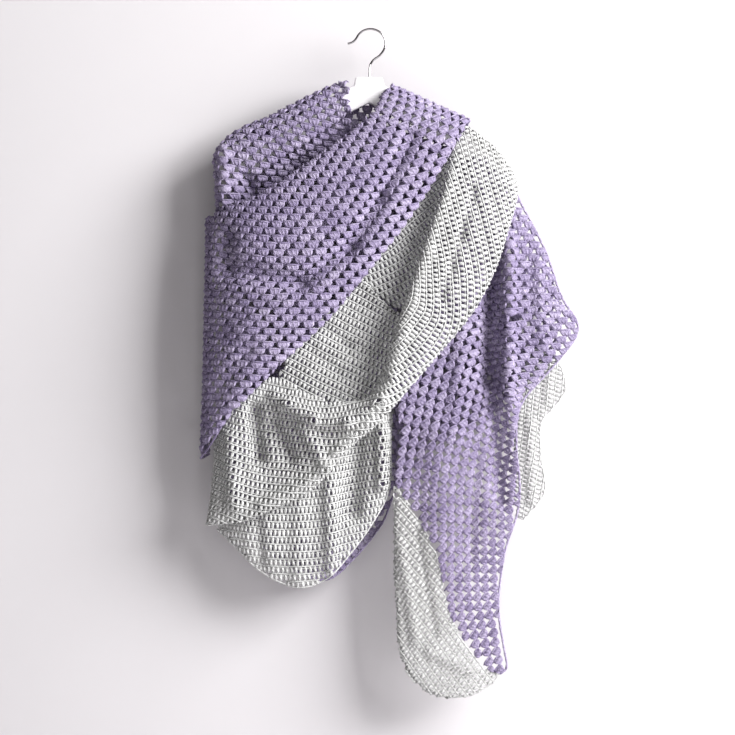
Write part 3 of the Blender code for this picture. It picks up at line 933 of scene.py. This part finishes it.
def work_edge(yarn, path, normals, thick, link, rng):
    """A chain of even links along a free edge."""
    steps = np.linalg.norm(np.diff(path, axis=0), axis=1)
    length = np.concatenate([[0], np.cumsum(steps)])
    places = np.linspace(0, length[-1], max(4, int(length[-1] / link * 2)))
    point = np.stack([np.interp(places, length, path[:, k]) for k in range(3)], axis=-1)
    normal = np.stack([np.interp(places, length, normals[:, k]) for k in range(3)], axis=-1)
    swell = np.where(np.arange(len(places)) % 2 == 0, 0.8, 1.12)
    radii = thick * swell * (1 + jitter(rng, len(places), CHAIN_SWELL))
    yarn.tubes(point[None], normal[None], radii[None], TUBE_SIDES, rng.uniform(0, 1, 1))


def linear(hex_colour):
    """An sRGB hex colour as linear red, green, blue and alpha."""
    parts = [int(hex_colour[i : i + 2], 16) / 255 for i in (1, 3, 5)]
    return [c / 12.92 if c <= 0.04045 else ((c + 0.055) / 1.055) ** 2.4 for c in parts] + [1.0]


def add(tree, kind, settings=None, **inputs):
    """Adds a node, sets its properties, and sets or links its inputs by name or number."""
    node = tree.nodes.new(kind)
    for name, value in (settings or {}).items():
        setattr(node, name, value)
    for name, value in inputs.items():
        socket = node.inputs[int(name[1:]) if name[1:].isdigit() else name.replace("_", " ")]
        if isinstance(value, bpy.types.NodeSocket):
            tree.links.new(value, socket)
        else:
            socket.default_value = value
    return node


def new_material(name):
    material = bpy.data.materials.new(name)
    material.use_nodes = True
    material.node_tree.nodes.clear()
    return material, material.node_tree


def finish_material(tree, shader):
    add(tree, "ShaderNodeOutputMaterial", Surface=shader.outputs[0])


# the yarn is spun from this many plies
PLIES = 3


def yarn_material(name, dark, middle, light, twist, sheen):
    """Brushed wool-blend yarn, spun from two shades: soft, heathered and with a faint twist."""
    material, tree = new_material(name)
    place = add(tree, "ShaderNodeTexCoord")
    uv = add(tree, "ShaderNodeSeparateXYZ", _0=place.outputs["UV"])
    # fibres blended before spinning, in patches of about 2 mm, give the heather
    heather = add(tree, "ShaderNodeTexNoise", Vector=place.outputs["Object"], Scale=480.0, Detail=3.0)
    heather.inputs["Roughness"].default_value = 0.6
    # a slower change from skein to skein, over about 60 mm
    skein = add(tree, "ShaderNodeTexNoise", Vector=place.outputs["Object"], Scale=16.0, Detail=1.0)
    tone = add(tree, "ShaderNodeAttribute", {"attribute_name": "tone"})
    weigh = {"operation": "MULTIPLY_ADD"}
    blend = add(tree, "ShaderNodeMath", weigh, _0=tone.outputs["Fac"], _1=0.16, _2=heather.outputs["Fac"])
    blend = add(tree, "ShaderNodeMath", weigh, _0=skein.outputs["Fac"], _1=0.2, _2=blend.outputs[0])
    ramp = add(tree, "ShaderNodeValToRGB", Fac=blend.outputs[0])
    stops = ramp.color_ramp.elements
    stops[0].position, stops[0].color = 0.4, linear(dark)
    stops[1].position, stops[1].color = 0.96, linear(light)
    stops.new(0.68).color = linear(middle)
    # the plies wind round the yarn once in each twist length
    turns = add(tree, "ShaderNodeMath", {"operation": "MULTIPLY"}, _0=uv.outputs[0], _1=TURN / twist)
    angle = add(tree, "ShaderNodeMath", weigh, _0=uv.outputs[1], _1=TURN * PLIES, _2=turns.outputs[0])
    ply = add(tree, "ShaderNodeMath", {"operation": "SINE"}, _0=angle.outputs[0])
    # loose fibres, about 0.4 mm apart
    fibre = add(tree, "ShaderNodeTexNoise", Vector=place.outputs["Object"], Scale=1500.0, Detail=2.0)
    relief = add(tree, "ShaderNodeMath", weigh, _0=fibre.outputs["Fac"], _1=1.6, _2=ply.outputs[0])
    bump = add(tree, "ShaderNodeBump", Height=relief.outputs[0], Strength=0.55, Distance=0.0005)
    shader = add(tree, "ShaderNodeBsdfPrincipled", Base_Color=ramp.outputs["Color"], Normal=bump.outputs[0])
    shader.inputs["Roughness"].default_value = 0.92
    shader.inputs["Specular IOR Level"].default_value = 0.08
    shader.inputs["Sheen Weight"].default_value = sheen
    shader.inputs["Sheen Roughness"].default_value = 0.45
    shader.inputs["Sheen Tint"].default_value = linear(light)
    finish_material(tree, shader)
    return material


def paint_material():
    """White acrylic paint brushed on a sanded hanger: satin, faintly uneven, warmer in the grain."""
    material, tree = new_material("satin white paint on wood")
    place = add(tree, "ShaderNodeTexCoord")
    # grain runs along the arms, about 3 mm apart under the paint
    grain_place = add(tree, "ShaderNodeMapping", Vector=place.outputs["Object"], Scale=(12.0, 60.0, 330.0))
    grain = add(tree, "ShaderNodeTexNoise", Vector=grain_place.outputs[0], Scale=1.0, Detail=4.0)
    ramp = add(tree, "ShaderNodeValToRGB", Fac=grain.outputs["Fac"])
    ramp.color_ramp.elements[0].position, ramp.color_ramp.elements[0].color = 0.3, linear("#DEDBDD")
    ramp.color_ramp.elements[1].position, ramp.color_ramp.elements[1].color = 0.7, linear("#EFEDEF")
    bump = add(tree, "ShaderNodeBump", Height=grain.outputs["Fac"], Strength=0.15, Distance=0.0003)
    shader = add(tree, "ShaderNodeBsdfPrincipled", Base_Color=ramp.outputs["Color"], Normal=bump.outputs[0])
    shader.inputs["Roughness"].default_value = 0.42
    shader.inputs["Coat Weight"].default_value = 0.15
    finish_material(tree, shader)
    return material


def steel_material():
    """Bright nickel-plated steel wire, drawn through a die: smudges from handling vary its gloss, and it
    shows dark reflections.
    """
    material, tree = new_material("nickel-plated steel wire")
    place = add(tree, "ShaderNodeTexCoord")
    # smudges from handling, about 8 mm across
    smudge = add(tree, "ShaderNodeTexNoise", Vector=place.outputs["Object"], Scale=120.0, Detail=3.0)
    rough = add(tree, "ShaderNodeMapRange", Value=smudge.outputs["Fac"])
    rough.inputs["To Min"].default_value = 0.12
    rough.inputs["To Max"].default_value = 0.3
    shader = add(tree, "ShaderNodeBsdfPrincipled", Roughness=rough.outputs[0])
    shader.inputs["Base Color"].default_value = linear("#A9A7A8")
    shader.inputs["Metallic"].default_value = 1.0
    finish_material(tree, shader)
    return material


def wall_material():
    """White emulsion on plaster. Its back faces let the view through, so that the wrap can be seen
    from behind."""
    material, tree = new_material("white emulsion on plaster")
    place = add(tree, "ShaderNodeTexCoord")
    stipple = add(tree, "ShaderNodeTexNoise", Vector=place.outputs["Object"], Scale=260.0, Detail=2.0)
    bump = add(tree, "ShaderNodeBump", Height=stipple.outputs["Fac"], Strength=0.05, Distance=0.0004)
    paint = add(tree, "ShaderNodeBsdfPrincipled", Normal=bump.outputs[0])
    paint.inputs["Base Color"].default_value = linear("#D1CED0")
    paint.inputs["Roughness"].default_value = 0.9
    paint.inputs["Specular IOR Level"].default_value = 0.1
    clear = add(tree, "ShaderNodeBsdfTransparent")
    side = add(tree, "ShaderNodeNewGeometry")
    mixed = add(tree, "ShaderNodeMixShader", Fac=side.outputs["Backfacing"])
    tree.links.new(paint.outputs[0], mixed.inputs[1])
    tree.links.new(clear.outputs[0], mixed.inputs[2])
    finish_material(tree, mixed)
    return material


def floor_material():
    """Pale sealed concrete, matte and nearly even."""
    material, tree = new_material("pale sealed concrete")
    place = add(tree, "ShaderNodeTexCoord")
    cloud = add(tree, "ShaderNodeTexNoise", Vector=place.outputs["Object"], Scale=6.0, Detail=4.0)
    ramp = add(tree, "ShaderNodeValToRGB", Fac=cloud.outputs["Fac"])
    ramp.color_ramp.elements[0].color = linear("#E6E5E7")
    ramp.color_ramp.elements[1].color = linear("#F1F0F2")
    shader = add(tree, "ShaderNodeBsdfPrincipled", Base_Color=ramp.outputs["Color"])
    shader.inputs["Roughness"].default_value = 0.8
    finish_material(tree, shader)
    return material


def distance(name, description, default, least, most):
    """A property in metres, shown as a length."""
    return bpy.props.FloatProperty(
        name=name, description=description, default=default, min=least, max=most,
        subtype="DISTANCE", unit="LENGTH",
    )


class ScarfYarn(bpy.types.PropertyGroup):
    """Sizes and colours of the crochet."""

    lilac_yarn: distance("Lilac yarn", "Thickness of the brushed lilac yarn", 0.0044, 0.001, 0.01)
    grey_yarn: distance("Grey yarn", "Thickness of the pale grey yarn", 0.0042, 0.001, 0.01)
    cluster_pitch: distance("Cluster pitch", "From cluster to cluster along a row", 0.0196, 0.008, 0.04)
    cluster_height: distance("Cluster row", "Height of a row of clusters", 0.0101, 0.006, 0.03)
    post_pitch: distance("Post pitch", "From post to post along a row", 0.0065, 0.003, 0.02)
    post_height: distance("Post row", "Height of a row of posts", 0.0108, 0.004, 0.03)
    seam_gap: bpy.props.FloatProperty(
        name="Seam gap", description="Gap between the two colours where they meet, in millimetres",
        default=0.5, min=0.1, max=3.0,
    )


class ScarfStage(bpy.types.PropertyGroup):
    """Light and viewpoint of the studio."""

    key_power: bpy.props.FloatProperty(
        name="Key light", description="Power of the large light on the right",
        default=212.0, min=0.0, max=500.0, subtype="POWER", unit="POWER",
    )
    fill_strength: bpy.props.FloatProperty(
        name="Fill", description="Strength of the even light from all round",
        default=0.055, min=0.0, max=5.0, subtype="FACTOR",
    )
    lens: bpy.props.FloatProperty(
        name="Lens", description="Focal length of the camera, in millimetres",
        default=135.0, min=20.0, max=300.0, unit="CAMERA",
    )


def piece_object(name, mesh, material):
    mesh.materials.append(material)
    obj = bpy.data.objects.new(name, mesh)
    bpy.context.scene.collection.objects.link(obj)
    return obj


def make_cloth(stretch, settings, material):
    rng = np.random.RandomState(stretch.seed)
    cloth = Cloth(stretch, settings.seam_gap)
    yarn = Yarn()
    lilac = stretch.colour == "lilac"
    if lilac:
        levels = BACK_LEVELS if stretch.name == "back_panel" else CLUSTER_LEVELS
        work_clusters(yarn, cloth, settings, levels, rng)
        thick, link = settings.lilac_yarn * EDGE_THICK["lilac"], settings.cluster_pitch / 2
    else:
        work_posts(yarn, cloth, settings, rng)
        thick, link = settings.grey_yarn * EDGE_THICK["grey"], settings.post_pitch
    sides = {"upper": np.s_[:, 0], "lower": np.s_[:, -1], "start": np.s_[0], "end": np.s_[-1]}
    for side in stretch.free_edges:
        work_edge(yarn, cloth.points[sides[side]], cloth.normals[sides[side]], thick, link, rng)
    mesh = yarn.mesh(f"{stretch.name}_crochet")
    piece = piece_object(f"{stretch.name}_crochet", mesh, material)
    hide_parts(stretch.name)
    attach(piece, "root")


def work_colour(colour, settings, material):
    for stretch in STRETCHES.values():
        if stretch.colour == colour:
            make_cloth(stretch, settings, material)


class SCARF_OT_lilac(bpy.types.Operator):
    """Crochets the lilac stretches of the wrap in rows of clusters."""

    bl_idname = "scarf.lilac"
    bl_label = "Lilac stretches"

    def execute(self, context):
        # brushed worsted yarn, soft and heathered, that catches light along its fuzz
        material = yarn_material("brushed lilac wool blend", "#6E6482", "#968CA6", "#BDB5C8", 0.011, 0.25)
        work_colour("lilac", context.scene.scarf_yarn, material)
        return {"FINISHED"}


class SCARF_OT_grey(bpy.types.Operator):
    """Crochets the pale grey border in rows of single posts."""

    bl_idname = "scarf.grey"
    bl_label = "Grey border"

    def execute(self, context):
        # the same yarn in a cool pale grey, worked more openly
        material = yarn_material("brushed pale grey wool blend", "#B0B0AE", "#C6C6C5", "#D4D4D3", 0.009, 0.2)
        work_colour("grey", context.scene.scarf_yarn, material)
        return {"FINISHED"}


class SCARF_OT_hanger(bpy.types.Operator):
    """Finishes the hanger's wood and its wire hook."""

    bl_idname = "scarf.hanger"
    bl_label = "Hanger"

    def execute(self, context):
        for node, material in (("hanger_body", paint_material()), ("hanger_hook", steel_material())):
            for obj in bpy.data.objects:
                if obj.name.split(".")[0] == node and obj.type == "MESH":
                    for slot in obj.material_slots:
                        slot.material = material
                    if not obj.material_slots:
                        raise RuntimeError(f"{node} has no material slot")
        return {"FINISHED"}


def stage_plane(name, centre, size, turn, material):
    bpy.ops.object.select_all(action="DESELECT")
    bpy.ops.mesh.primitive_plane_add(size=1, location=centre, rotation=turn)
    plane = bpy.context.object
    plane.name = name
    plane.scale = (size[0], size[1], 1)
    plane.data.materials.append(material)
    return plane


def area_light(name, place, aim, size, power):
    data = bpy.data.lights.new(name, "AREA")
    data.shape = "RECTANGLE"
    data.size, data.size_y = size
    data.energy = power
    light = bpy.data.objects.new(name, data)
    light.location = place
    light.rotation_mode = "QUATERNION"
    light.rotation_quaternion = (Vector(aim) - Vector(place)).to_track_quat("-Z", "Y")
    bpy.context.scene.collection.objects.link(light)
    return light


# The photograph covers this many metres at the hanger, 1.5 mm to a pixel, about this X and Z
PHOTO_WIDTH = 1.1025
PHOTO_CENTRE = (-0.00225, -0.50625)
# the camera's sensor is this many millimetres wide
SENSOR = 36
# the light from the front as a share of the key light, which it softens
FRONT_SHARE = 0.06


class SCARF_OT_stage(bpy.types.Operator):
    """Makes the wall, the floor, the lights and the camera."""

    bl_idname = "scarf.stage"
    bl_label = "Studio"

    def execute(self, context):
        settings = context.scene.scarf_stage
        stage_plane("wall", (0, 0.062, 0.3), (9, 4.4), (np.pi / 2, 0, 0), wall_material())
        stage_plane("floor", (0, -2.0, -1.6), (9, 8), (0, 0, 0), floor_material())
        area_light("key", (2.45, -1.85, 0.95), (0, 0, -0.45), (2.0, 2.0), settings.key_power)
        area_light("front", (-0.6, -3.4, 0.2), (0, 0, -0.5), (2.6, 2.2), settings.key_power * FRONT_SHARE)
        world = bpy.data.worlds.new("even white room")
        world.use_nodes = True
        world.node_tree.nodes["Background"].inputs["Color"].default_value = linear("#FFF7F3")
        world.node_tree.nodes["Background"].inputs["Strength"].default_value = settings.fill_strength
        context.scene.world = world
        context.scene.view_settings.view_transform = "Standard"
        context.scene.view_settings.look = "Medium High Contrast"
        data = bpy.data.cameras.new("camera")
        data.lens = settings.lens
        data.clip_end = 50
        camera = bpy.data.objects.new("camera", data)
        camera.location = (PHOTO_CENTRE[0], -PHOTO_WIDTH / (SENSOR / settings.lens), PHOTO_CENTRE[1])
        camera.rotation_euler = (np.pi / 2, 0, 0)
        context.scene.collection.objects.link(camera)
        context.scene.camera = camera
        return {"FINISHED"}


class SCARF_PT_panel(bpy.types.Panel):
    """Sizes, light and the steps that make the wrap."""

    bl_label = "Crochet blanket scarf"
    bl_idname = "SCARF_PT_panel"
    bl_space_type = "VIEW_3D"
    bl_region_type = "UI"
    bl_category = "Scarf"

    def draw(self, context):
        layout = self.layout
        for group in (context.scene.scarf_yarn, context.scene.scarf_stage):
            for name in group.bl_rna.properties.keys():
                if name not in ("rna_type", "name"):
                    layout.prop(group, name)
        for operator in (SCARF_OT_lilac, SCARF_OT_grey, SCARF_OT_hanger, SCARF_OT_stage):
            layout.operator(operator.bl_idname)


CLASSES = (
    ScarfYarn,
    ScarfStage,
    SCARF_OT_lilac,
    SCARF_OT_grey,
    SCARF_OT_hanger,
    SCARF_OT_stage,
    SCARF_PT_panel,
)


def register():
    for cls in CLASSES:
        bpy.utils.register_class(cls)
    bpy.types.Scene.scarf_yarn = bpy.props.PointerProperty(type=ScarfYarn)
    bpy.types.Scene.scarf_stage = bpy.props.PointerProperty(type=ScarfStage)


def unregister():
    del bpy.types.Scene.scarf_stage
    del bpy.types.Scene.scarf_yarn
    for cls in reversed(CLASSES):
        bpy.utils.unregister_class(cls)


def main():
    register()
    bpy.ops.scarf.lilac()
    bpy.ops.scarf.grey()
    bpy.ops.scarf.hanger()
    bpy.ops.scarf.stage()


if __name__ == "__main__":
    main()
